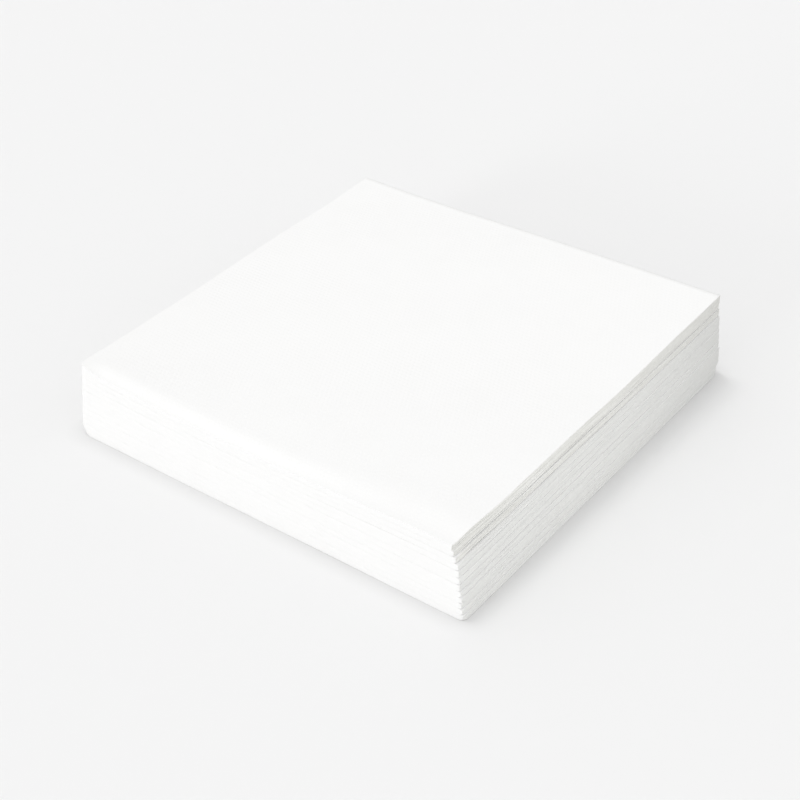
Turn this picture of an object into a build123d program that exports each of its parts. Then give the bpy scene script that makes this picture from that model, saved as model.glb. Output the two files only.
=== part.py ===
"""A stack of white paper napkins, each a square sheet folded twice into a quarter of its size.

Millimetres and degrees. +Z is up, the stack rests on z = 0. The second fold of every napkin is at the
front (-Y), the first fold at the left (-X), and the cut edges show at the right (+X) and the back (+Y).
"""

import math
import os

from build123d import *

# Driving dimensions of one sheet
sheet_width = 400.0  # flat sheet, measured across the first fold
sheet_length = 400.0  # flat sheet, measured across the second fold
sheet_thickness = 0.56  # soft, felt-like paper
layer_gap = 0.13  # air between neighbouring layers of one napkin at its folds

# Driving dimensions of the stack
napkin_count = 12
stack_gap = 0.10  # air between one napkin and the next
open_rise = 0.40  # a napkin is this much thicker at its open back edge than at its fold
top_spring = 2.7  # the unpressed top napkin stands open by this much more

# How the napkins differ from each other
size_spread = 2.2  # the lowest napkin is this much larger and the top one this much smaller than the middle
drift_right = -1.0  # the top napkin sits this far to the right of the lowest
drift_back = 0.25  # the top napkin sits this far behind the lowest
drift_turn = -0.7  # the top napkin is turned this far against the lowest
slip = 0.2  # napkins slip sideways by up to this much
slip_turn = 0.06  # napkins turn by up to this much
cut_stagger = 0.4  # neighbouring cut edges of one napkin differ by up to this much

# The waves that the differences follow up the stack, in radians
wave_step = 2.4  # from one napkin to the next
right_start = 0.3
back_start = 1.9
turn_start = 4.1
side_cut_start = 0.9
back_cut_start = 2.7

# Worked out from the driving dimensions
folded_width = sheet_width / 2
folded_length = sheet_length / 2
pair_thickness = 2 * sheet_thickness + layer_gap
napkin_thickness = 2 * pair_thickness + layer_gap
fold_radius = napkin_thickness / 2
opening = math.degrees(math.atan(open_rise / folded_length))
top_opening = math.degrees(math.atan((open_rise + top_spring) / folded_length))
middle_fold_y = fold_radius - folded_length / 2
top_level = napkin_count - 1

# From the underside of one napkin to that of the next: up to its fold, round by its opening, up again
to_fold = Location((0, middle_fold_y, fold_radius), (opening, 0, 0))
to_next = to_fold * Location((0, -middle_fold_y, fold_radius + stack_gap))


def share_of_stack(level):
    """How far up the stack a napkin lies, from 0 for the lowest to 1 for the top one."""
    return level / max(top_level, 1)


def uneven(level, start):
    """A value from -1 to 1 that differs from napkin to napkin, level counted from 0 at the bottom."""
    return math.sin(wave_step * level + start)


def lying_plane(level):
    """The plane that the underside of a napkin lies on, its origin under the middle of the napkin."""
    share = share_of_stack(level)
    right = share * (drift_right + slip * uneven(level, right_start))
    back = share * (drift_back + slip * uneven(level, back_start))
    turn = share * (drift_turn + slip_turn * uneven(level, turn_start))
    seat = Location()
    for _ in range(level):
        seat = seat * to_next
    return Plane(seat * Location((right, back, 0), (0, 0, turn)))


def napkin_solid(level):
    """One folded napkin as one solid: a double layer that runs forward, round the second fold and back."""
    larger = size_spread * (1 - 2 * share_of_stack(level))
    width = folded_width + larger
    length = folded_length + larger
    side_stagger = cut_stagger * uneven(level, side_cut_start)
    back_stagger = cut_stagger * uneven(level, back_cut_start)
    outer_cut = width / 2 + side_stagger
    inner_cut = width / 2 - side_stagger
    lower_open = length / 2 + back_stagger
    upper_open = length / 2 - back_stagger
    open_angle = top_opening if level == top_level else opening

    lie = lying_plane(level)
    fold_y = fold_radius - length / 2
    crease_root = pair_thickness / 2 - width / 2
    foot = lie.from_local_coords(Vector(0, fold_y, 0))
    centre = lie.from_local_coords(Vector(0, fold_y, fold_radius))
    fold_axis = Axis(centre, lie.x_dir)
    lower_section = Plane(origin=foot, x_dir=lie.x_dir, z_dir=-lie.y_dir)

    with BuildPart() as napkin:
        # Double layer in section: the pressed crease of the first fold at the left, cut edges at the right
        with BuildSketch(lower_section) as section:
            with BuildLine():
                Polyline(
                    (outer_cut, 0),
                    (crease_root, 0),
                    (-width / 2, pair_thickness / 2),
                    (crease_root, pair_thickness),
                    (inner_cut, pair_thickness),
                    (inner_cut, pair_thickness - sheet_thickness),
                    (crease_root, pair_thickness - sheet_thickness),
                    (crease_root - layer_gap / 2, pair_thickness / 2),
                    (crease_root, sheet_thickness),
                    (outer_cut, sheet_thickness),
                    close=True,
                )
            make_face()
        # Lower half, back from the second fold to the open edge
        extrude(section.sketch, amount=fold_y - lower_open)
        # Second fold
        turn_round = revolve(section.sketch, axis=fold_axis, revolution_arc=-(180 - open_angle))
        # Upper half, back from the second fold to the open edge
        upper_end = turn_round.faces().filter_by(GeomType.PLANE).sort_by(Axis(centre, lie.z_dir))[-1]
        upper_direction = lie.y_dir.rotate(Axis((0, 0, 0), lie.x_dir), open_angle)
        extrude(upper_end, amount=upper_open - fold_y, dir=upper_direction)
    return napkin.part


os.makedirs("parts", exist_ok=True)
for number in range(1, napkin_count + 1):
    node = f"napkin_{number:02d}"
    piece = napkin_solid(number - 1)
    piece.label = node
    export_step(piece, f"parts/{node}.step")
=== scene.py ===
"""A stack of white, dot-embossed paper napkins on a pale floor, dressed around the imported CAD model.

Metres throughout. +Z is up. Each napkin is one square sheet folded twice: the first fold lies at the left
(-X), the second fold at the front (-Y), and the cut edges show at the right (+X) and the back (+Y).
"""

import logging
import math
from dataclasses import dataclass, field, replace
from enum import Enum

import bpy
import numpy as np
from mathutils import Matrix, Vector


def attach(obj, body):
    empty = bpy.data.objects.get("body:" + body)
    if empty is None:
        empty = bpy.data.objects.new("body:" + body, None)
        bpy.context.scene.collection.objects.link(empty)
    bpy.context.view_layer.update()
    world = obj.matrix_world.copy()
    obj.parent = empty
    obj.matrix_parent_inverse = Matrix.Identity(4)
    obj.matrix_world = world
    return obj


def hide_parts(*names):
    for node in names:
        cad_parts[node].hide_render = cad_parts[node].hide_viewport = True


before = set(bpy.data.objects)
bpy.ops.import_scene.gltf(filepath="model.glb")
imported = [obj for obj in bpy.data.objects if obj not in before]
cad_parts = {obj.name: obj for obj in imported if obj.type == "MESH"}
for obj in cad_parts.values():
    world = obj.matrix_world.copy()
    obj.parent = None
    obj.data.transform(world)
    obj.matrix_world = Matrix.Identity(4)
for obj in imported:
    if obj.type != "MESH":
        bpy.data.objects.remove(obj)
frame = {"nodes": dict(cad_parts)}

log = logging.getLogger("napkin_stack")

MM = 0.001
TINY = 1e-9
QUARTER_TURN = math.pi / 2.0
SHEET_SIDE = 400 * MM
FOLDED_SIDE = SHEET_SIDE / 2
EDGE_SOFTNESS = 0.10 * MM
SEEDS_PER_NAPKIN = 100
FLAT_UV = "flat_sheet"
WHITE = (1.0, 1.0, 1.0, 1.0)
BLACK = (0.0, 0.0, 0.0, 1.0)

Colour = tuple[float, float, float, float]
Sockets = dict[str, bpy.types.NodeSocket]


class Looseness(Enum):
    """How firmly the stack presses a napkin; the value is the number of mesh steps across one layer."""

    PRESSED = 34
    LOOSE = 64


class Unevenness(Enum):
    """What is uneven in a napkin; the value is added to its seed."""

    OPEN_ENDS = 1
    OUTER_CUT = 2
    INNER_CUT = 3
    FIRST_FOLD = 4
    LOWER_END = 5
    UPPER_END = 6
    SECOND_FOLD = 7
    GROOVE_BELOW = 8
    GROOVE_ABOVE = 9
    LOW_GAP = 10
    MIDDLE_GAP = 11
    HIGH_GAP = 12
    FOLD_PRESS = 13


def ease(share: np.ndarray) -> np.ndarray:
    """A smooth step from 0 to 1 while share goes from 0 to 1."""
    inside = np.clip(share, 0.0, 1.0)
    return inside * inside * (3.0 - 2.0 * inside)


def near(distance: np.ndarray, reach: float) -> np.ndarray:
    """1 at no distance, easing down to 0 at the reach."""
    return ease(1.0 - distance / reach)


def fade(distance: np.ndarray, reach: float) -> np.ndarray:
    """1 at no distance, falling towards 0 beyond the reach."""
    return np.exp(-np.maximum(distance, 0.0) / reach)


def bell(distance: np.ndarray, reach: np.ndarray | float) -> np.ndarray:
    """1 at no distance, falling like the side of a bell towards 0 beyond the reach."""
    return np.exp(-((np.maximum(distance, 0.0) / reach) ** 2))


def between(start: np.ndarray | float, end: np.ndarray | float, share: np.ndarray) -> np.ndarray:
    """The value that lies a share of the way from the start to the end."""
    return start + (end - start) * share


def about_one(waves: np.ndarray, amount: float, least: float) -> np.ndarray:
    """Factors that waver about 1 by an amount and don't fall under the least."""
    return np.maximum(1.0 + amount * waves, least)


def half_turn(steps: int) -> np.ndarray:
    """Angles of a number of steps inside a half turn, from -90 to 90 degrees without its ends."""
    return np.linspace(-90.0, 90.0, steps + 2)[1:-1] * math.pi / 180.0


@dataclass(frozen=True)
class Waver:
    """A smooth, repeatable unevenness made of a few sine waves.

    Attributes:
        seed: Picks the waves.
        longest: Longest wavelength.
        parts: Number of waves.
        shortest: Shortest wavelength, as a share of the longest.
    """

    seed: int
    longest: float
    parts: int = 4
    shortest: float = 0.3

    def _waves(self) -> tuple[np.ndarray, np.ndarray, np.ndarray]:
        """Draws the waves.

        Returns:
            Their wave numbers, headings and phases.
        """
        draw = np.random.default_rng(self.seed)
        lengths = self.longest * draw.uniform(self.shortest, 1.0, self.parts)
        headings = draw.uniform(0.0, 2.0 * math.pi, self.parts)
        phases = draw.uniform(0.0, 2.0 * math.pi, self.parts)
        return 2.0 * math.pi / lengths, headings, phases

    def along(self, distance: np.ndarray) -> np.ndarray:
        """Unevenness along a line.

        Args:
            distance: Distances along the line.

        Returns:
            Values of about -1 to 1, one for each distance.
        """
        numbers, _, phases = self._waves()
        return np.sin(distance[..., None] * numbers + phases).sum(-1) / math.sqrt(self.parts)

    def over(self, x: np.ndarray, y: np.ndarray) -> np.ndarray:
        """Unevenness over a plane.

        Args:
            x: First coordinates.
            y: Second coordinates.

        Returns:
            Values of about -1 to 1, one for each point.
        """
        numbers, headings, phases = self._waves()
        ahead = x[..., None] * np.cos(headings) + y[..., None] * np.sin(headings)
        return np.sin(ahead * numbers + phases).sum(-1) / math.sqrt(self.parts)


@dataclass(frozen=True)
class Paper:
    """The soft paper that a napkin is folded from.

    Attributes:
        thickness: Thickness of one layer.
        gap: Air between neighbouring layers at a fold.
    """

    thickness: float = 0.56 * MM
    gap: float = 0.13 * MM

    @property
    def pair(self) -> float:
        """Thickness of two layers and the air between them."""
        return 2.0 * self.thickness + self.gap

    @property
    def quarter_fold(self) -> float:
        """Thickness of the four layers of a napkin at its second fold."""
        return 2.0 * self.pair + self.gap


@dataclass(frozen=True)
class Seat:
    """Where a napkin of the CAD model lies.

    Attributes:
        corners: Plan corners in the order left front, right front, left back, right back.
        bottom: Height of the underside at the fold and at the open end.
        top: Height of the upper side at the fold and at the open end.
    """

    corners: np.ndarray
    bottom: tuple[float, float]
    top: tuple[float, float]

    @classmethod
    def of(cls, node: bpy.types.Object, rim: float = 5 * MM) -> "Seat":
        """Reads the seat from a CAD node.

        Args:
            node: Object of the CAD napkin, its place in its mesh.
            rim: How near to a plan corner a point counts for its heights.

        Returns:
            The seat of that napkin.
        """
        points = np.empty(len(node.data.vertices) * 3)
        node.data.vertices.foreach_get("co", points)
        points = points.reshape(-1, 3)
        x, y, z = points.T
        picks = [np.argmin(x + y), np.argmax(x - y), np.argmin(x - y), np.argmax(x + y)]
        close = [z[np.hypot(x - x[pick], y - y[pick]) < rim] for pick in picks]
        low, high = [heights.min() for heights in close], [heights.max() for heights in close]
        return cls(
            points[picks, :2],
            ((low[0] + low[1]) / 2.0, (low[2] + low[3]) / 2.0),
            ((high[0] + high[1]) / 2.0, (high[2] + high[3]) / 2.0),
        )

    def plan(self, across: np.ndarray, along: np.ndarray) -> tuple[np.ndarray, np.ndarray]:
        """Turns places on the folded napkin into plan coordinates.

        Args:
            across: Distance from the first fold.
            along: Distance from the second fold.

        Returns:
            x and y in the frame.
        """
        right, back = across / FOLDED_SIDE, along / FOLDED_SIDE
        shares = ((1 - right) * (1 - back), right * (1 - back), (1 - right) * back, right * back)
        x = sum(share * corner[0] for share, corner in zip(shares, self.corners))
        y = sum(share * corner[1] for share, corner in zip(shares, self.corners))
        return x, y

    def underside(self, along: np.ndarray) -> np.ndarray:
        """Height of the underside at a distance from the second fold."""
        return between(*self.bottom, along / FOLDED_SIDE)

    def height(self, along: np.ndarray) -> np.ndarray:
        """Thickness of the napkin at a distance from the second fold."""
        at_fold, at_end = self.top[0] - self.bottom[0], self.top[1] - self.bottom[1]
        return between(at_fold, at_end, along / FOLDED_SIDE)


@dataclass(frozen=True)
class BluntCorner:
    """A corner of the stack that is worn round at the bottom, and may be round again towards the top.

    Attributes:
        radius: Radius of the corner in plan, at the floor.
        rise: Height at which that roundness ends.
        power: How quickly it sharpens on the way up.
        top_radius: Radius of the corner in plan, at the top of the folds.
        top: Height of the top of the folds.
    """

    radius: float
    rise: float
    power: float
    top_radius: float = 0.0
    top: float = 33 * MM

    def blunt(self, first: np.ndarray, second: np.ndarray, z: np.ndarray) -> tuple[np.ndarray, np.ndarray]:
        """Rounds the corner in plan.

        Args:
            first: Distances from one side of the corner.
            second: Distances from the other side of the corner.
            z: Heights.

        Returns:
            The two distances after rounding.
        """
        radius = self.radius * np.clip(1.0 - z / self.rise, 0.0, 1.0) ** self.power
        radius = radius + self.top_radius * np.clip(z / self.top, 0.0, 1.0)
        out_first, out_second = radius - first, radius - second
        inside = (out_first > 0.0) & (out_second > 0.0)
        square = np.maximum(out_first, out_second)
        scale = np.where(inside, square / np.maximum(np.hypot(out_first, out_second), TINY), 1.0)
        return radius - out_first * scale, radius - out_second * scale


@dataclass(frozen=True)
class Settling:
    """How the stack has sunk, as one smooth change of all its heights, so that no layers cross.

    Attributes:
        front: Plan points at the two ends of the top napkin's second fold.
        top: Height of the stack at the folds and at the open end.
        seam: Height of the underside of the top napkin at the folds and at the open end.
        roll_drop: How far the top folds sink at the front.
        roll_reach: How far back from the front they sink.
        roll_depth: How far down the stack they sink.
        roll_start: How far from the left side they are fully sunk.
        roll_widen: How much wider the sunk strip is at the right side.
        swell: Height of the long waves in the top.
        swell_waves: Those waves.
        swell_start: How far back from the front they reach their height.
        twist: How far the loose right back corner springs up, and the left back corner sinks.
        ruffle: Height of the short waves in the upper cut edges at the right.
        ruffle_waves: Those waves.
        ruffle_reach: How far in from the right side they go.
        ruffle_depth: How far down the stack they go.
        ruffle_run: How far back from the front they are high.
        ruffle_rest: Share of their height that is left further back.
        bulge: How far the middle of the stack stands up between its folds and its open end.
        lift: How far the left and the right front corner stand up.
        lift_reach: How far back from the front each of the two goes.
        lift_width: How far in from its side each of the two goes.
        lift_depth: How far down the stack they go.
        share_out: How far the underside of the top napkin comes up at the open end, where the napkins below
            take over some of its air.
    """

    front: np.ndarray
    top: tuple[float, float]
    seam: tuple[float, float]
    roll_drop: float = 2.2 * MM
    roll_reach: float = 4.0 * MM
    roll_depth: float = 14 * MM
    roll_start: float = 14 * MM
    roll_widen: float = 1.6
    swell: float = 0.35 * MM
    swell_waves: Waver = Waver(7, 150 * MM)
    swell_start: float = 25 * MM
    twist: float = 2.0 * MM
    ruffle: float = 0.22 * MM
    ruffle_waves: Waver = Waver(21, 45 * MM, 6)
    ruffle_reach: float = 5 * MM
    ruffle_depth: float = 15 * MM
    ruffle_run: float = 60 * MM
    ruffle_rest: float = 0.2
    bulge: float = 0.6 * MM
    lift: tuple[float, float] = (2.5 * MM, 3.7 * MM)
    lift_reach: tuple[float, float] = (35 * MM, 50 * MM)
    lift_width: tuple[float, float] = (45 * MM, 70 * MM)
    lift_depth: float = 20 * MM
    share_out: float = 2.0 * MM

    def settle(self, x: np.ndarray, y: np.ndarray, z: np.ndarray) -> np.ndarray:
        """Settled heights of points of the stack.

        Args:
            x: First plan coordinates.
            y: Second plan coordinates.
            z: Heights before settling.

        Returns:
            The heights after settling.
        """
        run = self.front[1] - self.front[0]
        length = float(np.hypot(*run))
        behind = ((y - self.front[0, 1]) * run[0] - (x - self.front[0, 0]) * run[1]) / length
        beside = length - ((x - self.front[0, 0]) * run[0] + (y - self.front[0, 1]) * run[1]) / length
        back = behind / FOLDED_SIDE
        crown, seam = between(*self.top, back), between(*self.seam, back)
        share = np.clip(back, 0.0, 1.0)
        shared = np.clip(np.minimum(z / seam, (crown - z) / (crown - seam)), 0.0, 1.0)
        z = z + self.share_out * share * shared
        deep, raised = crown - z, z / crown

        strip = self.roll_reach * (1.0 + self.roll_widen * near(beside, length / 2.0))
        roll = self.roll_drop * bell(behind, strip) * near(deep, self.roll_depth)
        roll = roll * ease((length - beside) / self.roll_start)
        swell = self.swell * self.swell_waves.over(x, y) * np.clip(raised, 0.0, 1.0) ** 2
        swell = swell * ease(behind / self.swell_start)
        ruffle = self.ruffle * self.ruffle_waves.along(behind) * fade(beside, self.ruffle_reach)
        ruffle = ruffle * between(self.ruffle_rest, 1.0, fade(behind, self.ruffle_run))
        ruffle = ruffle * near(deep, self.ruffle_depth)
        twist = self.twist * raised * (1.0 - 2.0 * beside / length) * share
        bulge = self.bulge * raised * np.sin(math.pi * share)
        corners = zip(self.lift, self.lift_reach, self.lift_width, (length - beside, beside))
        lift = sum(
            height * fade(behind, reach) * bell(inward, width) for height, reach, width, inward in corners
        )
        return z - roll + swell + ruffle + twist + bulge + lift * near(deep, self.lift_depth)


@dataclass(frozen=True)
class Section:
    """The double layer of a napkin in section, as one closed loop of points.

    Attributes:
        across: Distance of each point from the first fold.
        depth: Distance of each point in from the outside of the fold.
        flat: Distance of each point from the first fold on the flat sheet, negative on the outer layer.
        skin: Number of points on the outer skin, and on the inner.
        rim: Number of points on one cut edge.
    """

    across: np.ndarray
    depth: np.ndarray
    flat: np.ndarray
    skin: int
    rim: int

    @classmethod
    def of(cls, paper: Paper, steps: int, fold_steps: int = 5) -> "Section":
        """Draws the section.

        Args:
            paper: The paper of the napkin.
            steps: Number of points along one layer.
            fold_steps: Number of points round the first fold.

        Returns:
            The section.
        """
        turn = paper.pair / 2.0
        grade = 0.5 - 0.5 * np.cos(np.linspace(0.0, math.pi, steps))
        layer = between(turn, FOLDED_SIDE - EDGE_SOFTNESS, grade)
        bend = half_turn(fold_steps)
        skins = []
        for radius in (turn, paper.gap / 2.0):
            below, above = np.full(steps, turn - radius), np.full(steps, turn + radius)
            skin_across = np.concatenate([layer[::-1], turn - radius * np.cos(bend), layer])
            skin_depth = np.concatenate([below, turn + radius * np.sin(bend), above])
            skins.append((skin_across, skin_depth))
        (outer_across, outer_depth), (inner_across, inner_depth) = skins
        rim_share = np.array([0.22, 0.5, 0.78])
        rim_across = FOLDED_SIDE - EDGE_SOFTNESS * np.array([0.25, 0.0, 0.25])
        inner_rim = paper.pair - paper.thickness * rim_share
        outer_rim = paper.thickness * (1.0 - rim_share)
        across = np.concatenate([outer_across, rim_across, inner_across[::-1], rim_across])
        depth = np.concatenate([outer_depth, inner_rim, inner_depth[::-1], outer_rim])
        side = np.sign(depth - turn)
        return cls(across, depth, side * across, len(outer_across), len(rim_share))


@dataclass(frozen=True)
class Course:
    """The way that the section takes along the sheet: forward below, round the second fold, back above.

    Attributes:
        along: Distance from the second fold at each step of the two arms, 0 in the fold.
        turn: Angle round the second fold, -90 degrees below to 90 degrees above, clamped on the arms.
        flat: Distance from the second fold on the flat sheet, negative on the lower arm.
        shrink: How far the section is thinned at the cut ends, 0 to 1.
    """

    along: np.ndarray
    turn: np.ndarray
    flat: np.ndarray
    shrink: np.ndarray

    @classmethod
    def of(
        cls,
        paper: Paper,
        steps: int = 70,
        fold_steps: int = 13,
        near_steps: int = 16,
        near_part: float = 16 * MM,
    ) -> "Course":
        """Lays out the course.

        Args:
            paper: The paper of the napkin.
            steps: Number of steps along the far part of one arm.
            fold_steps: Number of steps round the second fold.
            near_steps: Number of steps along the near part of one arm, close behind the fold.
            near_part: Distance from the fold at which the near part ends.

        Returns:
            The course.
        """
        start = paper.quarter_fold / 2.0
        even = np.linspace(0.0, 1.0, steps)
        grade = 0.75 * even + 0.25 * (0.5 - 0.5 * np.cos(math.pi * even))
        close = np.linspace(start, near_part, near_steps, endpoint=False)
        far = between(near_part, FOLDED_SIDE - EDGE_SOFTNESS, grade)
        arm = np.concatenate([close, far, [FOLDED_SIDE]])
        shrink = np.concatenate([np.zeros(near_steps + steps), [1.0]])
        bend = half_turn(fold_steps)
        straight = np.full(len(arm), QUARTER_TURN)
        return cls(
            np.concatenate([arm[::-1], np.zeros(fold_steps), arm]),
            np.concatenate([-straight, bend, straight]),
            np.concatenate([-arm[::-1], start * bend / QUARTER_TURN, arm]),
            np.concatenate([shrink[::-1], np.zeros(fold_steps), shrink]),
        )


@dataclass(frozen=True)
class Reach:
    """How far the forms of a napkin go in from its edges and folds.

    Attributes:
        cut: In from a cut edge, where the layers move with it.
        fold: In from a fold, where the layers move with it.
        arms: Back from the second fold, where the lower and the upper layers part.
        slack: Back from the second fold, where the cut edges wander most.
        ear: In from the right side, where the second fold sticks out.
        groove: In from the right side, where the gaps to the napkins above and below stand open.
        groove_start: Back from the second fold, where they are fully open.
        groove_run: Back from the second fold, where they are open most.
        loose: Back from the second fold, where the gaps between the layers are fully uneven.
        free: In from the first fold, where they are.
        end: In from its cut end, where the second fold is round and pinched.
        flush: Back from the second fold, where the napkins are pressed against each other.
        lean: Back from the second fold, where the layers follow its lean.
    """

    cut: float = 30 * MM
    fold: float = 20 * MM
    arms: float = 4 * MM
    slack: float = 90 * MM
    ear: float = 6 * MM
    groove: float = 5 * MM
    groove_start: float = 12 * MM
    groove_run: float = 80 * MM
    loose: float = 20 * MM
    free: float = 25 * MM
    end: float = 0.6 * MM
    flush: float = 5 * MM
    lean: float = 15 * MM


@dataclass(frozen=True)
class Wavelength:
    """The longest waves in what is uneven in a napkin.

    Attributes:
        cut: In the cut edges.
        first_fold: In the first fold.
        second_fold: In the second fold.
        groove: In the gaps to the napkins above and below.
        gap: In the gaps between the layers.
        press: In how square the second fold is pressed.
    """

    cut: float = 90 * MM
    first_fold: float = 120 * MM
    second_fold: float = 140 * MM
    groove: float = 110 * MM
    gap: float = 130 * MM
    press: float = 160 * MM


@dataclass
class FoldedNapkin:
    """One napkin: a sheet folded twice, as one closed mesh.

    Attributes:
        node: Name of the CAD node that it stands for.
        number: Place in the stack, from 1 at the bottom.
        seat: Where it lies.
        looseness: How firmly it is pressed.
        below: Name of what it rests on.
        paper: The paper it is folded from.
        reach: How far its forms go in from its edges and folds.
        wave: The longest waves in what is uneven.
        groove_below: How wide the gap below stands open along the right side.
        groove_above: How wide the gap above stands open along the right side.
        groove_rest: Share of that width that is left far behind the second fold.
        groove_most: Largest share of the air in the napkin that one of the two takes.
        set_back: How far the cut edges of the outer and the inner layer lie in from the CAD edge.
        end_set_back: How far the open ends lie in from the CAD edge, at least and at most.
        skew: How much further out the outer layer lies below than above.
        fan: How much further in the lowest and the highest layer lie at the second fold.
        fan_reach: How far back from the second fold the layers fan out.
        squareness: How square the second fold is pressed, 2 for a round fold.
        end_squareness: How square it is at its cut end.
        pinch: Share of its thickness that the second fold loses at its cut end.
        pinch_length: How far back from the fold it is pinched.
        ear: How far the second fold sticks out at its cut end.
        lean: How much further back the top of the second fold lies than its bottom, at its left and at its
            right end.
        corners: The blunt corners between the two folds, between the two cut sides, and between the second
            fold and the cut side at the right.
        waver: How far the cut edges wander.
        waver_parts: Number of waves in them.
        waver_rest: Share of it that is left far behind the second fold.
        crease: How far the first fold wanders.
        nose: How far the second fold wanders.
        end_thinning: Share of its thickness that a layer loses on each face at an open end.
        edge_fill: Share of the gaps that the soft cut edges swell to fill.
        edge_reach: How far in from the cut edges the layers swell.
        edge_rim: Width of the rim that is swollen all over.
        edge_meet: How far a swollen rim reaches towards the napkin above and the one below.
        flush: How much thicker the folds are, pressed against each other at the front.
        piece: The Blender object, once built.
    """

    node: str
    number: int
    seat: Seat
    looseness: Looseness
    below: str
    paper: Paper = Paper()
    reach: Reach = Reach()
    wave: Wavelength = Wavelength()
    groove_below: float = 0.0
    groove_above: float = 0.0
    groove_rest: float = 0.3
    groove_most: float = 0.35
    set_back: tuple[float, float] = (0.2 * MM, 0.2 * MM)
    end_set_back: tuple[float, float] = (0.1 * MM, 0.4 * MM)
    skew: float = 0.0
    fan: tuple[float, float] = (0.0, 0.0)
    fan_reach: float = 14 * MM
    squareness: float = 90.0
    end_squareness: float = 2.0
    pinch: float = 0.55
    pinch_length: float = 4.0 * MM
    ear: float = 0.0
    lean: tuple[float, float] = (0.0, 0.0)
    corners: tuple[BluntCorner, BluntCorner, BluntCorner] = (
        BluntCorner(5.3 * MM, 6.3 * MM, 1.1, top_radius=4.5 * MM),
        BluntCorner(6.0 * MM, 5.5 * MM, 1.0),
        BluntCorner(2.8 * MM, 4.0 * MM, 1.0),
    )
    waver: float = 0.10 * MM
    waver_parts: int = 6
    waver_rest: float = 0.35
    crease: float = 0.15 * MM
    nose: float = 0.03 * MM
    end_thinning: float = 0.25
    edge_fill: float = 0.96
    edge_reach: float = 2.2 * MM
    edge_rim: float = 0.9 * MM
    edge_meet: float = 0.035 * MM
    flush: float = 0.085 * MM
    piece: bpy.types.Object | None = None

    def _seed(self, use: Unevenness) -> int:
        """A seed of this napkin's own for one use."""
        return SEEDS_PER_NAPKIN * self.number + use.value

    def _waver(self, use: Unevenness, longest: float, parts: int = 4) -> Waver:
        """Waves of this napkin's own for one use."""
        return Waver(self._seed(use), longest, parts)

    def _edges(self, section: Section, course: Course) -> tuple[np.ndarray, np.ndarray]:
        """Moves the cut edges and the two folds a little in the plane.

        Args:
            section: The section of the double layer.
            course: The way of the section.

        Returns:
            How far each point moves to the right, and how far to the back.
        """
        reach, wave = self.reach, self.wave
        draw = np.random.default_rng(self._seed(Unevenness.OPEN_ENDS))
        outer, upper = section.flat < 0.0, course.flat > 0.0
        arm = np.tanh(course.flat / reach.arms)
        looser = between(self.waver_rest, 1.0, fade(course.along, reach.slack))
        cuts = [
            looser * (self.waver * self._waver(use, wave.cut, self.waver_parts).along(course.flat) - inward)
            for use, inward in zip((Unevenness.OUTER_CUT, Unevenness.INNER_CUT), self.set_back)
        ]
        level = sum(cuts) / 2.0
        apart = ease(course.along / (2.0 * self.pinch_length))
        fanned = fade(course.along, self.fan_reach)
        fan_middle, fan_spread = sum(self.fan) / 2.0, (self.fan[1] - self.fan[0]) / 2.0
        # An outer layer lies three times as far from the middle of the napkin as an inner one
        from_middle = (1.0, 1.0 / 3.0)
        near_cut = near(FOLDED_SIDE - section.across, reach.cut)
        right = np.zeros((len(course.flat), len(section.flat)))
        for cut, chosen, skew, share in zip(cuts, (outer, ~outer), (self.skew, 0.0), from_middle):
            cut = between(level, cut, apart)
            cut = cut - skew / 2.0 * arm - fanned * (fan_middle + share * fan_spread * arm)
            right = right + np.where(chosen, cut[:, None] * near_cut, 0.0)
        wander = self._waver(Unevenness.FIRST_FOLD, wave.first_fold).along(course.flat)
        crease = self.crease * (1.0 + wander)
        right = right + crease[:, None] * near(section.across, reach.fold)

        near_end = near(FOLDED_SIDE - course.along, reach.cut)
        ends = -draw.uniform(*self.end_set_back, 2)
        back = np.zeros_like(right)
        for end, chosen, use in zip(ends, (~upper, upper), (Unevenness.LOWER_END, Unevenness.UPPER_END)):
            cut = end + self.waver * self._waver(use, wave.cut, self.waver_parts).along(section.flat)
            back = back + np.where(chosen, near_end, 0.0)[:, None] * cut
        wander = self._waver(Unevenness.SECOND_FOLD, wave.second_fold).along(section.across)
        front = self.nose * (1.0 + wander) - self.ear * bell(FOLDED_SIDE - section.across, reach.ear)
        return right, back + near(course.along, reach.fold)[:, None] * front

    def _layers(self, across: np.ndarray, along: np.ndarray) -> tuple[list[np.ndarray], list[np.ndarray]]:
        """Shares out the air in the napkin over the gaps between its layers.

        Args:
            across: Distance of each point from the first fold.
            along: Distance of each point from the second fold.

        Returns:
            The heights of the undersides of the four layers over the underside of the napkin, and those of
            their upper sides, from the bottom up.
        """
        sheet, reach, wave = self.paper.thickness, self.reach, self.wave
        air = self.seat.height(along) - 4.0 * sheet
        from_cut, behind = FOLDED_SIDE - across, along - self.paper.quarter_fold / 2.0
        past_fold = ease(behind / reach.groove_start)
        groove = between(self.groove_rest, 1.0, fade(along, reach.groove_run)) * past_fold
        groove = groove * fade(from_cut, reach.groove)
        grooves = []
        for use, width in (
            (Unevenness.GROOVE_BELOW, self.groove_below),
            (Unevenness.GROOVE_ABOVE, self.groove_above),
        ):
            opened = about_one(self._waver(use, wave.groove).along(along), amount=0.5, least=0.1)
            grooves.append(np.minimum(width * opened, self.groove_most * air) * groove)
        raised, sunk = grooves

        left = air - raised - sunk
        weights = [
            about_one(self._waver(use, wave.gap).over(across, along), amount=0.55, least=0.15)
            for use in (Unevenness.LOW_GAP, Unevenness.MIDDLE_GAP, Unevenness.HIGH_GAP)
        ]
        loose, free = ease(behind / reach.loose), ease(across / reach.free)
        closed = self.paper.gap / air
        low, high = (
            left * between(closed, between(1.0 / 3.0, weight / sum(weights), loose), free)
            for weight in (weights[0], weights[2])
        )
        gaps = (low, left - low - high, high)

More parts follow.
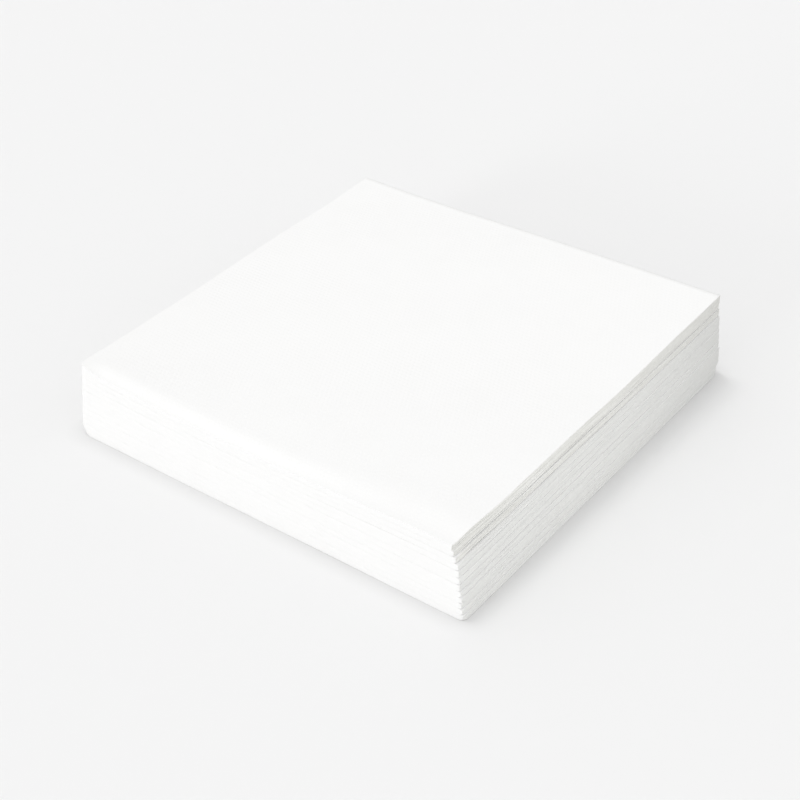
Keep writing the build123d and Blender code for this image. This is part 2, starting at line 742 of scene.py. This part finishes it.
        bottoms, tops = [raised], [raised + sheet]
        for gap in gaps:
            bottoms.append(tops[-1] + gap)
            tops.append(bottoms[-1] + sheet)
        edge = fade(np.minimum(from_cut, FOLDED_SIDE - along) - self.edge_rim, self.edge_reach)
        for layer, gap in enumerate(gaps):
            swell = 0.5 * self.edge_fill * edge * gap
            tops[layer] = tops[layer] + swell
            bottoms[layer + 1] = bottoms[layer + 1] - swell
        meet = self.edge_meet * edge * past_fold
        tops[-1] = tops[-1] + meet
        if self.number > 1:
            bottoms[0] = bottoms[0] - meet
        return bottoms, tops

    def _points(self, section: Section, course: Course) -> tuple[np.ndarray, np.ndarray, np.ndarray]:
        """Places every point of the mesh before the stack settles.

        Args:
            section: The section of the double layer.
            course: The way of the section.

        Returns:
            x, y and z of the points, a row for each step of the course.
        """
        paper, reach = self.paper, self.reach
        radius = paper.quarter_fold / 2.0
        in_outer = section.depth <= paper.thickness + TINY
        in_inner = section.depth >= paper.pair - paper.thickness - TINY
        centre = np.where(in_outer, paper.thickness / 2.0, paper.pair - paper.thickness / 2.0)
        thin = self.end_thinning * paper.thickness * course.shrink[:, None]
        depth = section.depth + np.clip(centre - section.depth, -thin, thin)

        right_by, back_by = self._edges(section, course)
        across = section.across + right_by
        both_cuts = (right_by[:, :1] + right_by[:, section.skin - 1 : section.skin]) / 2.0
        at_end = bell(FOLDED_SIDE + both_cuts - across, reach.end)
        press = self._waver(Unevenness.FOLD_PRESS, self.wave.press).along(section.across)
        pressed = self.squareness * about_one(press, amount=0.5, least=0.7)
        roundness = between(2.0 / pressed, 2.0 / self.end_squareness, at_end)
        turned = course.turn[:, None]
        in_fold = np.abs(turned) < QUARTER_TURN - TINY
        cosine = np.clip(np.cos(turned), 0.0, 1.0) ** roundness
        sine = np.sign(turned) * np.abs(np.sin(turned)) ** roundness
        along = np.where(in_fold, radius - (radius - depth) * cosine, course.along[:, None]) + back_by

        bottoms, tops = self._layers(across, np.maximum(along, radius))
        layer_part = (depth - np.where(in_inner, paper.pair - paper.thickness, 0.0)) / paper.thickness
        gap_part = (depth - paper.thickness) / paper.gap
        lower, upper = (
            np.where(
                in_outer,
                between(outside, under, layer_part),
                np.where(in_inner, between(over, inside, layer_part), between(under, over, gap_part)),
            )
            for outside, under, over, inside in (
                (bottoms[0], tops[0], bottoms[1], tops[1]),
                (tops[3], bottoms[3], tops[2], bottoms[2]),
            )
        )
        rise = np.where(turned < 0.0, lower, upper)
        rise = np.where(in_fold, radius + (radius - depth) * sine, rise)
        rise = rise * (1.0 + self.flush / paper.quarter_fold * fade(along, reach.flush))
        pinch = self.pinch * at_end * np.clip(1.0 - along / self.pinch_length, 0.0, 1.0) ** 2
        rise = radius + (rise - radius) * (1.0 - pinch)
        z = self.seat.underside(along) + rise
        lean = between(*self.lean, across / FOLDED_SIDE)
        along = along + lean * (rise / paper.quarter_fold - 0.5) * near(along, reach.lean)
        x, y = self._plan(across, along, z)
        return x, y, z

    def _plan(
        self, across: np.ndarray, along: np.ndarray, z: np.ndarray
    ) -> tuple[np.ndarray, np.ndarray]:
        """Rounds the blunt corners and turns places on the folded napkin into plan coordinates.

        Args:
            across: Distance of each point from the first fold.
            along: Distance of each point from the second fold.
            z: Heights.

        Returns:
            x and y in the frame.
        """
        folds, cuts, front = self.corners
        across, along = folds.blunt(across, along, z)
        to_cut, along = front.blunt(FOLDED_SIDE - across, along, z)
        to_cut, to_end = cuts.blunt(to_cut, FOLDED_SIDE - along, z)
        return self.seat.plan(FOLDED_SIDE - to_cut, FOLDED_SIDE - to_end)

    @staticmethod
    def _faces(section: Section, rows: int) -> list[tuple[int, ...]]:
        """Joins the points into a closed skin.

        Args:
            section: The section of the double layer.
            rows: Number of steps of the course.

        Returns:
            The corner numbers of each face.
        """
        loop = len(section.flat)
        faces: list[tuple[int, ...]] = []
        for row in range(rows - 1):
            start, after = row * loop, (row + 1) * loop
            for point in range(loop):
                beside = (point + 1) % loop
                faces.append((start + point, after + point, after + beside, start + beside))
        skin, rim = section.skin, section.rim
        outer = list(range(skin))
        inner_rim = list(range(skin, skin + rim))
        inner = list(range(2 * skin + rim - 1, skin + rim - 1, -1))
        outer_rim = list(range(2 * skin + rim, loop))
        for row, flip in ((0, False), (rows - 1, True)):
            base = row * loop
            caps = [(outer[k], outer[k + 1], inner[k + 1], inner[k]) for k in range(skin - 1)]
            caps.append((outer[-1], *inner_rim, inner[-1]))
            caps.append((inner[0], *outer_rim, outer[0]))
            for cap in caps:
                corners = tuple(base + corner for corner in cap)
                faces.append(corners[::-1] if flip else corners)
        return faces

    def build(self, settling: Settling) -> bpy.types.Object:
        """Args:
            settling: How the stack has sunk.

        Returns:
            The new object.
        """
        section = Section.of(self.paper, self.looseness.value)
        course = Course.of(self.paper)
        x, y, z = self._points(section, course)
        points = np.stack((x, y, settling.settle(x, y, z)), axis=-1).reshape(-1, 3)
        mesh = bpy.data.meshes.new(f"folded_napkin_{self.number:02d}")
        mesh.from_pydata(points.tolist(), [], self._faces(section, len(course.flat)))
        mesh.validate()
        flat = np.stack(np.broadcast_arrays(section.flat[None, :], course.flat[:, None]), axis=-1)
        corner_points = np.empty(len(mesh.loops), dtype=np.int32)
        mesh.loops.foreach_get("vertex_index", corner_points)
        corner_flat = flat.reshape(-1, 2)[corner_points].astype(np.float32)
        mesh.uv_layers.new(name=FLAT_UV).data.foreach_set("uv", corner_flat.ravel())
        mesh.polygons.foreach_set("use_smooth", np.ones(len(mesh.polygons), dtype=bool))
        mesh.update()
        self.piece = bpy.data.objects.new(mesh.name, mesh)
        bpy.context.scene.collection.objects.link(self.piece)
        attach(self.piece, "root")
        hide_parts(self.node)
        return self.piece

    def dress(self, material: bpy.types.Material) -> None:
        """Gives the napkin its paper."""
        self.piece.data.materials.append(material)


class NodeTree:
    """Small helper that adds and joins shader nodes in one tree."""

    def __init__(self, tree: bpy.types.NodeTree) -> None:
        """Keeps the tree that nodes are added to."""
        self.tree = tree

    def add(self, kind: str, **settings: object) -> bpy.types.Node:
        """Adds a node.

        Args:
            kind: Blender's type name of the node.
            settings: Attributes of the node to set.

        Returns:
            The new node.
        """
        node = self.tree.nodes.new(kind)
        for name, value in settings.items():
            setattr(node, name, value)
        return node

    def join(self, source: bpy.types.NodeSocket, target: bpy.types.NodeSocket) -> None:
        """Joins an output to an input."""
        self.tree.links.new(source, target)

    def put(self, value: bpy.types.NodeSocket | Colour | float, target: bpy.types.NodeSocket) -> None:
        """Joins an output to an input, or sets a constant there.

        Args:
            value: An output socket, a colour or a number.
            target: The input.
        """
        if isinstance(value, bpy.types.NodeSocket):
            self.join(value, target)
        else:
            target.default_value = value

    def math(
        self, operation: str, first: bpy.types.NodeSocket | float, second: bpy.types.NodeSocket | float = 0.0
    ) -> bpy.types.NodeSocket:
        """Adds a calculation with one or two values.

        Args:
            operation: Blender's name of the operation.
            first: An output socket or a number.
            second: An output socket or a number.

        Returns:
            The result.
        """
        node = self.add("ShaderNodeMath", operation=operation)
        for place, value in enumerate((first, second)):
            self.put(value, node.inputs[place])
        return node.outputs[0]

    def mix(
        self,
        share: bpy.types.NodeSocket,
        first: bpy.types.NodeSocket | Colour,
        second: bpy.types.NodeSocket | Colour,
    ) -> bpy.types.NodeSocket:
        """Mixes two colours.

        Args:
            share: Output socket with the share of the second colour.
            first: An output socket or a colour.
            second: An output socket or a colour.

        Returns:
            The mixed colour.
        """
        node = self.add("ShaderNodeMix", data_type="RGBA")
        # The factor and the two colours of the node, whose other inputs are for numbers and vectors
        for place, value in ((0, share), (6, first), (7, second)):
            self.put(value, node.inputs[place])
        return node.outputs[2]

    def place(
        self, group: bpy.types.NodeTree, values: dict[str, bpy.types.NodeSocket | float]
    ) -> bpy.types.NodeOutputs:
        """Places a shared group with values of its own.

        Args:
            group: The group.
            values: An output socket or a number for each of its inputs, by name.

        Returns:
            The outputs of the placed group.
        """
        node = self.add("ShaderNodeGroup", node_tree=group)
        for name, value in values.items():
            self.put(value, node.inputs[name])
        return node.outputs


def new_group(
    name: str, inputs: dict[str, str], outputs: dict[str, str]
) -> tuple[NodeTree, Sockets, Sockets]:
    """Starts a shader node group.

    Args:
        name: Name of the group.
        inputs: Socket type of each input by name.
        outputs: Socket type of each output by name.

    Returns:
        The helper for its tree, its input sockets by name and its output sockets by name.
    """
    tree = bpy.data.node_groups.new(name, "ShaderNodeTree")
    for title, kind in inputs.items():
        tree.interface.new_socket(title, in_out="INPUT", socket_type=kind)
    for title, kind in outputs.items():
        tree.interface.new_socket(title, in_out="OUTPUT", socket_type=kind)
    nodes = NodeTree(tree)
    entry, leave = nodes.add("NodeGroupInput"), nodes.add("NodeGroupOutput")
    given = {title: entry.outputs[title] for title in inputs}
    result = {title: leave.inputs[title] for title in outputs}
    return nodes, given, result


def dot_emboss_group() -> bpy.types.NodeTree:
    """Builds the group that draws rows of small pressed dots on the flat sheet.

    Returns:
        The node group, with the height of the dots as its output.
    """
    nodes, given, result = new_group(
        "dot_emboss",
        {"Flat": "NodeSocketVector", "Pitch": "NodeSocketFloat", "Dot": "NodeSocketFloat"},
        {"Height": "NodeSocketFloat"},
    )
    split = nodes.add("ShaderNodeSeparateXYZ")
    nodes.join(given["Flat"], split.inputs[0])
    rows = nodes.math("DIVIDE", split.outputs["Y"], given["Pitch"])
    odd = nodes.math("MULTIPLY", nodes.math("FLOORED_MODULO", nodes.math("FLOOR", rows), 2.0), 0.5)
    columns = nodes.math("ADD", nodes.math("DIVIDE", split.outputs["X"], given["Pitch"]), odd)
    side = nodes.math("SUBTRACT", nodes.math("FRACT", columns), 0.5)
    rise = nodes.math("SUBTRACT", nodes.math("FRACT", rows), 0.5)
    square = nodes.math("ADD", nodes.math("MULTIPLY", side, side), nodes.math("MULTIPLY", rise, rise))
    away = nodes.math("SQRT", square)
    soft = nodes.add("ShaderNodeMapRange", interpolation_type="SMOOTHSTEP")
    nodes.join(away, soft.inputs["Value"])
    soft.inputs["From Min"].default_value = 0.0
    nodes.join(given["Dot"], soft.inputs["From Max"])
    soft.inputs["To Min"].default_value = 0.0
    soft.inputs["To Max"].default_value = 1.0
    nodes.join(soft.outputs["Result"], result["Height"])
    return nodes.tree


def fibre_group() -> bpy.types.NodeTree:
    """Builds the group for the matted fibres and the cloudy look of soft paper.

    Returns:
        The node group, with a fine height and a cloudy mask as its outputs.
    """
    nodes, given, result = new_group(
        "paper_fibre",
        {"Flat": "NodeSocketVector", "Fibre Scale": "NodeSocketFloat", "Cloud Scale": "NodeSocketFloat"},
        {"Height": "NodeSocketFloat", "Cloud": "NodeSocketFloat"},
    )
    fine = nodes.add("ShaderNodeTexNoise")
    nodes.join(given["Flat"], fine.inputs["Vector"])
    nodes.join(given["Fibre Scale"], fine.inputs["Scale"])
    fine.inputs["Detail"].default_value = 3.0
    fine.inputs["Distortion"].default_value = 0.6
    cloud = nodes.add("ShaderNodeTexNoise")
    nodes.join(given["Flat"], cloud.inputs["Vector"])
    nodes.join(given["Cloud Scale"], cloud.inputs["Scale"])
    cloud.inputs["Detail"].default_value = 4.0
    nodes.join(fine.outputs["Fac"], result["Height"])
    nodes.join(cloud.outputs["Fac"], result["Cloud"])
    return nodes.tree


def cut_edge_group() -> bpy.types.NodeTree:
    """Builds the group that marks the cut rim of the flat sheet.

    Returns:
        The node group, with a mask that is 1 on the rim and one that grows to 1 at the open end as its
        outputs.
    """
    nodes, given, result = new_group(
        "cut_edge",
        {"Flat": "NodeSocketVector", "Half Side": "NodeSocketFloat", "Width": "NodeSocketFloat"},
        {"Rim": "NodeSocketFloat", "Open": "NodeSocketFloat"},
    )
    split = nodes.add("ShaderNodeSeparateXYZ")
    nodes.join(given["Flat"], split.inputs[0])
    from_fold = nodes.math("ABSOLUTE", split.outputs["Y"])
    opening = nodes.math("POWER", nodes.math("DIVIDE", from_fold, given["Half Side"]), 3.0)
    nodes.join(opening, result["Open"])
    far = nodes.math("MAXIMUM", nodes.math("ABSOLUTE", split.outputs["X"]), from_fold)
    inside = nodes.math("DIVIDE", nodes.math("SUBTRACT", given["Half Side"], far), given["Width"])
    soft = nodes.add("ShaderNodeMapRange", interpolation_type="SMOOTHSTEP")
    nodes.join(inside, soft.inputs["Value"])
    soft.inputs["To Min"].default_value = 1.0
    soft.inputs["To Max"].default_value = 0.0
    nodes.join(soft.outputs["Result"], result["Rim"])
    return nodes.tree


def painted_streak_group() -> bpy.types.NodeTree:
    """Builds the group for the lighter and darker streaks along cut edges, layer by layer: painted
    highlights and painted shade that stand in for layer edges catching the light or lying in shadow.

    Returns:
        The node group, with a tone from 0 to 1 as its output.
    """
    nodes, given, result = new_group(
        "painted_streak",
        {"Place": "NodeSocketVector", "Run": "NodeSocketFloat", "Layers": "NodeSocketFloat"},
        {"Tone": "NodeSocketFloat"},
    )
    stretch = nodes.add("ShaderNodeCombineXYZ")
    for axis, rate in (("X", "Run"), ("Y", "Run"), ("Z", "Layers")):
        nodes.join(given[rate], stretch.inputs[axis])
    drawn = nodes.add("ShaderNodeVectorMath", operation="MULTIPLY")
    nodes.join(given["Place"], drawn.inputs[0])
    nodes.join(stretch.outputs[0], drawn.inputs[1])
    noise = nodes.add("ShaderNodeTexNoise")
    nodes.join(drawn.outputs[0], noise.inputs["Vector"])
    noise.inputs["Scale"].default_value = 1.0
    noise.inputs["Detail"].default_value = 2.0
    spread = nodes.add("ShaderNodeMapRange", interpolation_type="SMOOTHSTEP")
    nodes.join(noise.outputs["Fac"], spread.inputs["Value"])
    spread.inputs["From Min"].default_value = 0.3
    spread.inputs["From Max"].default_value = 0.7
    nodes.join(spread.outputs["Result"], result["Tone"])
    return nodes.tree


@dataclass(frozen=True)
class TissueFinish:
    """Soft white paper with pressed dots.

    Attributes:
        name: Name of the material.
        light: Colour of the bright parts of the face.
        shade: Colour of the cloudy parts of the face.
        rim_painted_highlight: Colour of the light streaks of the cut edges: the paper's own colour lifted by
            a painted highlight for layer edges that catch the light.
        rim_painted_shade: Colour of their dark streaks: the paper's own colour lowered by painted shade for
            layer edges in shadow.
        painted_open_shade: Share of their colour that the cut edges lose towards the open end at the back,
            painted shade for the shadow in the gaps where the layers stand open.
        rim_width: Width of the soft border between face and cut edge.
        streak_run: Streaks in a metre along a cut edge.
        streak_layers: Streaks in a metre up the stack.
        dot_pitch: Distance between dots.
        dot_share: Radius of a dot as a share of that distance.
        dot_depth: Depth of the dots.
        fibre_scale: Fibres in a metre.
        fibre_depth: Height of the fibres.
        cloud_scale: Cloudy parts in a metre.
        roughness: Roughness of the paper.
        specular: Strength of its gloss.
    """

    name: str
    light: Colour = (0.899, 0.898, 0.894, 1.0)
    shade: Colour = (0.879, 0.878, 0.872, 1.0)
    rim_painted_highlight: Colour = (0.903, 0.905, 0.885, 1.0)
    rim_painted_shade: Colour = (0.873, 0.876, 0.855, 1.0)
    painted_open_shade: float = 0.16
    rim_width: float = 0.05 * MM
    streak_run: float = 28.0
    streak_layers: float = 1500.0
    dot_pitch: float = 2.0 * MM
    dot_share: float = 0.46
    dot_depth: float = 0.045 * MM
    fibre_scale: float = 1400.0
    fibre_depth: float = 0.012 * MM
    cloud_scale: float = 55.0
    roughness: float = 0.92
    specular: float = 0.25

    def material(self, groups: dict[str, bpy.types.NodeTree]) -> bpy.types.Material:
        """Builds the material.

        Args:
            groups: The shared node groups by name.

        Returns:
            The material.
        """
        material = bpy.data.materials.new(self.name)
        material.use_nodes = True
        material.node_tree.nodes.clear()
        nodes = NodeTree(material.node_tree)
        flat = nodes.add("ShaderNodeUVMap", uv_map=FLAT_UV).outputs["UV"]
        place = nodes.add("ShaderNodeTexCoord").outputs["Object"]
        dots = nodes.place(
            groups["dot_emboss"], {"Flat": flat, "Pitch": self.dot_pitch, "Dot": self.dot_share}
        )
        fibres = nodes.place(
            groups["paper_fibre"],
            {"Flat": flat, "Fibre Scale": self.fibre_scale, "Cloud Scale": self.cloud_scale},
        )
        cut = nodes.place(
            groups["cut_edge"],
            {"Flat": flat, "Half Side": FOLDED_SIDE - EDGE_SOFTNESS, "Width": self.rim_width},
        )
        streaks = nodes.place(
            groups["painted_streak"], {"Place": place, "Run": self.streak_run, "Layers": self.streak_layers}
        )

        pressed = nodes.math("MULTIPLY", dots["Height"], self.dot_depth)
        matted = nodes.math("MULTIPLY", fibres["Height"], self.fibre_depth)
        on_face = nodes.math("SUBTRACT", 1.0, cut["Rim"])
        height = nodes.math("MULTIPLY", nodes.math("ADD", pressed, matted), on_face)
        bump = nodes.add("ShaderNodeBump")
        bump.inputs["Strength"].default_value = 1.0
        bump.inputs["Distance"].default_value = 1.0
        nodes.join(height, bump.inputs["Height"])

        face = nodes.mix(fibres["Cloud"], self.light, self.shade)
        # Painted highlight and painted shade: streaks that lighten and darken the cut edges layer by layer,
        # fading towards the open end
        swing = nodes.math("SUBTRACT", streaks["Tone"], 0.5)
        swing = nodes.math("MULTIPLY", swing, nodes.math("SUBTRACT", 1.0, cut["Open"]))
        rim = nodes.mix(nodes.math("ADD", swing, 0.5), self.rim_painted_shade, self.rim_painted_highlight)
        # Painted shade: the cut edges darken towards the open end, for the shadow in the open gaps between
        # the layers
        rim = nodes.mix(nodes.math("MULTIPLY", cut["Open"], self.painted_open_shade), rim, BLACK)
        shader = nodes.add("ShaderNodeBsdfPrincipled")
        shader.inputs["Roughness"].default_value = self.roughness
        shader.inputs["Specular IOR Level"].default_value = self.specular
        nodes.join(nodes.mix(cut["Rim"], face, rim), shader.inputs["Base Color"])
        nodes.join(bump.outputs["Normal"], shader.inputs["Normal"])
        nodes.join(shader.outputs[0], nodes.add("ShaderNodeOutputMaterial").inputs[0])
        return material


@dataclass
class NapkinStack:
    """The whole stack of folded napkins.

    Attributes:
        nodes: CAD nodes of the napkins by name.
        loose_count: Number of loose napkins at the top.
        fan: How far in the highest layer would lie at the front right corner.
        fan_count: Number of napkins from the top that fan out there.
        fan_faces: Place of the lowest and the highest layer in a napkin, down from its top, in napkins.
        fan_power: How quickly the fan opens towards the top.
        napkins: The napkins from the bottom up, once built.
    """

    nodes: dict[str, bpy.types.Object]
    loose_count: int = 3
    fan: float = 2.4 * MM
    fan_count: int = 4
    fan_faces: tuple[float, float] = (1.0, 0.2)
    fan_power: float = 2.2
    napkins: list[FoldedNapkin] = field(default_factory=list)

    def build(self) -> None:
        """Builds every napkin, from the bottom up."""
        names = sorted(self.nodes)
        seats = self._square_up([Seat.of(self.nodes[name]) for name in names])
        settling = Settling(front=seats[-1].corners[:2], top=seats[-1].top, seam=seats[-1].bottom)
        lean = (seats[-1].corners[:2, 1] - seats[0].corners[:2, 1]) / (len(seats) - 1)
        below = "floor"
        for number, (name, seat) in enumerate(zip(names, seats), start=1):
            from_top = len(names) - number
            napkin = FoldedNapkin(
                node=name,
                number=number,
                seat=seat,
                looseness=Looseness.LOOSE if from_top < self.loose_count else Looseness.PRESSED,
                below=below,
                lean=tuple(lean),
            )
            self._loosen(napkin, from_top)
            piece = napkin.build(settling)
            self.napkins.append(napkin)
            below = piece.name
            log.info("built %s with %d faces", piece.name, len(piece.data.polygons))

    @staticmethod
    def _square_up(seats: list[Seat]) -> list[Seat]:
        """Brings the second folds into one straight front, as in a stack that was knocked square.

        Args:
            seats: The seats from the bottom up.

        Returns:
            The seats with their front corners in line.
        """
        levels = np.arange(len(seats))
        plans = np.stack([seat.corners for seat in seats])
        for corner in (0, 1):
            plans[:, corner, 1] = np.polyval(np.polyfit(levels, plans[:, corner, 1], 1), levels)
        return [replace(seat, corners=plan) for seat, plan in zip(seats, plans)]

    def _loosen(self, napkin: FoldedNapkin, from_top: int) -> None:
        """Sets how the edges and the fold of a napkin lie, by its place in the stack.

        The loose napkins stand open along the right side, the one below them is a little less swollen at its
        fold, and the lowest layer of all lies a little further out.

        Args:
            napkin: The napkin.
            from_top: Number of napkins above it.
        """
        draw = np.random.default_rng(napkin.number)
        higher = (self.fan_count - from_top - np.array(self.fan_faces)) / self.fan_count
        napkin.fan = tuple(self.fan * np.clip(higher, 0.0, 1.0) ** self.fan_power)
        napkin.set_back = tuple(draw.uniform(0.10, 0.22, 2) * MM)
        napkin.pinch = draw.uniform(0.05, 0.4)
        napkin.end_squareness = draw.uniform(3.0, 9.0)
        if from_top == 0:
            napkin.set_back = (0.10 * MM, 0.14 * MM)
            napkin.groove_below = 0.36 * MM
            napkin.ear = 0.6 * MM
            napkin.end_squareness = 4.0
            napkin.pinch = 0.0
            napkin.waver = 0.06 * MM
        elif from_top < self.loose_count:
            napkin.set_back = tuple(draw.uniform(0.10, 0.40, 2) * MM)
            napkin.skew = draw.uniform(-0.08, 0.08) * MM
            napkin.groove_below = 0.12 * MM
            napkin.groove_above = 0.10 * MM
            napkin.waver = 0.14 * MM
        elif from_top == self.loose_count:
            napkin.flush = 0.06 * MM
        elif napkin.number == 1:
            napkin.set_back = (0.10 * MM, 0.30 * MM)
            napkin.skew = 0.5 * MM
            napkin.squareness = 20.0

    def dress(self) -> None:
        """Gives the pressed napkins and the loose ones at the top their paper."""
        groups = {
            "dot_emboss": dot_emboss_group(),
            "paper_fibre": fibre_group(),
            "cut_edge": cut_edge_group(),
            "painted_streak": painted_streak_group(),
        }
        finishes = {
            Looseness.PRESSED: TissueFinish("pressed_tissue", dot_depth=0.03 * MM),
            # The loose napkins' cut edges get stronger painted highlight and painted shade streaks
            Looseness.LOOSE: TissueFinish(
                "loose_tissue", rim_painted_highlight=(0.955, 0.955, 0.926, 1.0), rim_painted_shade=(0.830, 0.828, 0.790, 1.0)
            ),
        }
        materials = {kind: finish.material(groups) for kind, finish in finishes.items()}
        for napkin in self.napkins:
            napkin.dress(materials[napkin.looseness])
            log.info("dressed %s as %s", napkin.piece.name, materials[napkin.looseness].name)


@dataclass(frozen=True)
class Viewpoint:
    """The camera's place in the photograph.

    Attributes:
        target: Point that the middle of the image looks at.
        azimuth: Turn round the object in degrees, 0 looking along +Y.
        elevation: Height above the horizon in degrees.
        roll: Turn of the image in degrees.
        distance: Distance from the target.
        focal_pixels: Focal length in pixels of the image.
        image_side: Width of the image in pixels.
        sensor_width: Width of the sensor in millimetres.
        clip: Nearest and furthest distance that the camera sees.
    """

    target: tuple[float, float, float] = (13.45 * MM, -22.40 * MM, 19.72 * MM)
    azimuth: float = 37.14
    elevation: float = 35.77
    roll: float = 0.86
    distance: float = 695.7 * MM
    focal_pixels: float = 1638.8
    image_side: float = 800.0
    sensor_width: float = 36.0
    clip: tuple[float, float] = (0.01, 100.0)

    def camera(self) -> bpy.types.Object:
        """Builds the camera.

        Returns:
            The camera object.
        """
        turn, rise, roll = (math.radians(angle) for angle in (self.azimuth, self.elevation, self.roll))
        back = Vector((math.sin(turn) * math.cos(rise), -math.cos(turn) * math.cos(rise), math.sin(rise)))
        level = Vector((math.cos(turn), math.sin(turn), 0.0))
        upright = back.cross(level)
        right = level * math.cos(roll) - upright * math.sin(roll)
        up = level * math.sin(roll) + upright * math.cos(roll)
        data = bpy.data.cameras.new("camera")
        data.sensor_width = self.sensor_width
        data.lens = self.sensor_width * self.focal_pixels / self.image_side
        data.clip_start, data.clip_end = self.clip
        camera = bpy.data.objects.new("camera", data)
        facing = Matrix((right, up, back)).transposed().to_4x4()
        camera.matrix_world = Matrix.Translation(Vector(self.target) + back * self.distance) @ facing
        bpy.context.scene.collection.objects.link(camera)
        return camera


@dataclass(frozen=True)
class Lamp:
    """A soft, far lamp.

    Attributes:
        name: Name of the lamp.
        strength: Light on a surface that faces it.
        towards: Direction towards the lamp.
        spread: Angle that the lamp fills, in degrees.
    """

    name: str
    strength: float
    towards: tuple[float, float, float]
    spread: float

    def hang(self) -> None:
        """Adds the lamp to the scene."""
        data = bpy.data.lights.new(self.name, "SUN")
        data.energy = self.strength
        data.angle = math.radians(self.spread)
        lamp = bpy.data.objects.new(self.name, data)
        lamp.rotation_mode = "QUATERNION"
        lamp.rotation_quaternion = Vector(self.towards).to_track_quat("Z", "Y")
        bpy.context.scene.collection.objects.link(lamp)


@dataclass(frozen=True)
class Studio:
    """Pale floor with a painted shadow along the foot of the stack, even sky with a dark panel at the right,
    and two soft lamps.

    Attributes:
        floor_reach: How far the floor goes each way from the middle.
        floor_colour: Colour of the floor.
        nook_painted_shade: Colour of the floor deep in the nook along the foot of the stack, a painted
            shadow that ambient occlusion blends in.
        nook_painted_shade_reach: Width of that painted shadow.
        backdrop: Brightness of the backdrop that the camera sees past the floor.
        sky: Brightness of the even light from all round.
        panel: How much darker the sky is at the right.
        lamps: The lamps, one high at the left and one low in front.
    """

    floor_reach: float = 30.0
    floor_colour: Colour = (0.853, 0.853, 0.853, 1.0)
    nook_painted_shade: Colour = (0.63, 0.63, 0.63, 1.0)
    nook_painted_shade_reach: float = 9 * MM
    backdrop: float = 0.913
    sky: float = 0.92
    panel: float = 0.015
    lamps: tuple[Lamp, ...] = (
        Lamp("high_lamp", 0.42, (-0.31, 0.0, 0.95), 16.0),
        Lamp("low_lamp", 0.607, (-0.12, -0.98, 0.17), 20.0),
    )

    def build(self) -> None:
        """Builds the floor, the light and the camera."""
        self._floor()
        self._world()
        for lamp in self.lamps:
            lamp.hang()
        scene = bpy.context.scene
        scene.camera = Viewpoint().camera()
        scene.view_settings.view_transform = "Standard"

    def _floor(self) -> None:
        """Lays a wide, pale, matt floor under the stack, darkened near its foot by a painted shadow."""
        far = self.floor_reach
        corners = [(-far, -far, 0.0), (far, -far, 0.0), (far, far, 0.0), (-far, far, 0.0)]
        mesh = bpy.data.meshes.new("floor")
        mesh.from_pydata(corners, [], [(0, 1, 2, 3)])
        material = bpy.data.materials.new("pale_floor_with_painted_shade")
        material.use_nodes = True
        nodes = NodeTree(material.node_tree)
        # Painted shadow: ambient occlusion blends the floor towards a darker colour near the stack
        nook = nodes.add("ShaderNodeAmbientOcclusion")
        nook.inputs["Distance"].default_value = self.nook_painted_shade_reach
        tone = nodes.mix(nook.outputs["AO"], self.nook_painted_shade, self.floor_colour)
        shader = material.node_tree.nodes["Principled BSDF"]
        nodes.join(tone, shader.inputs["Base Color"])
        shader.inputs["Roughness"].default_value = 1.0
        shader.inputs["Specular IOR Level"].default_value = 0.0
        mesh.materials.append(material)
        floor = bpy.data.objects.new("floor", mesh)
        bpy.context.scene.collection.objects.link(floor)

    def _world(self) -> None:
        """Lights the scene evenly and shows the camera a plain backdrop."""
        world = bpy.data.worlds.new("even_sky")
        bpy.context.scene.world = world
        world.use_nodes = True
        nodes = NodeTree(world.node_tree)
        world.node_tree.nodes.clear()
        path = nodes.add("ShaderNodeLightPath")
        seen = nodes.math("MAXIMUM", path.outputs["Is Camera Ray"], path.outputs["Is Glossy Ray"])
        seen = nodes.math("MAXIMUM", seen, path.outputs["Is Transmission Ray"])
        sky, backdrop = nodes.add("ShaderNodeBackground"), nodes.add("ShaderNodeBackground")
        for light in (sky, backdrop):
            light.inputs["Color"].default_value = WHITE
        heading = nodes.add("ShaderNodeSeparateXYZ")
        nodes.join(nodes.add("ShaderNodeTexCoord").outputs["Generated"], heading.inputs[0])
        panel = nodes.math("MULTIPLY", nodes.math("MAXIMUM", heading.outputs["X"], 0.0), 2.0 * self.panel)
        nodes.join(nodes.math("SUBTRACT", self.sky, panel), sky.inputs["Strength"])
        backdrop.inputs["Strength"].default_value = self.backdrop
        mix = nodes.add("ShaderNodeMixShader")
        nodes.join(seen, mix.inputs[0])
        nodes.join(sky.outputs[0], mix.inputs[1])
        nodes.join(backdrop.outputs[0], mix.inputs[2])
        nodes.join(mix.outputs[0], nodes.add("ShaderNodeOutputWorld").inputs[0])


def main() -> None:
    """Builds the stack and the studio in order."""
    logging.basicConfig(level=logging.INFO, format="%(name)s: %(message)s")
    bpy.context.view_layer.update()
    stack = NapkinStack(frame["nodes"])
    stack.build()
    stack.dress()
    Studio().build()
    log.info("built the studio")


if __name__ == "__main__":
    main()
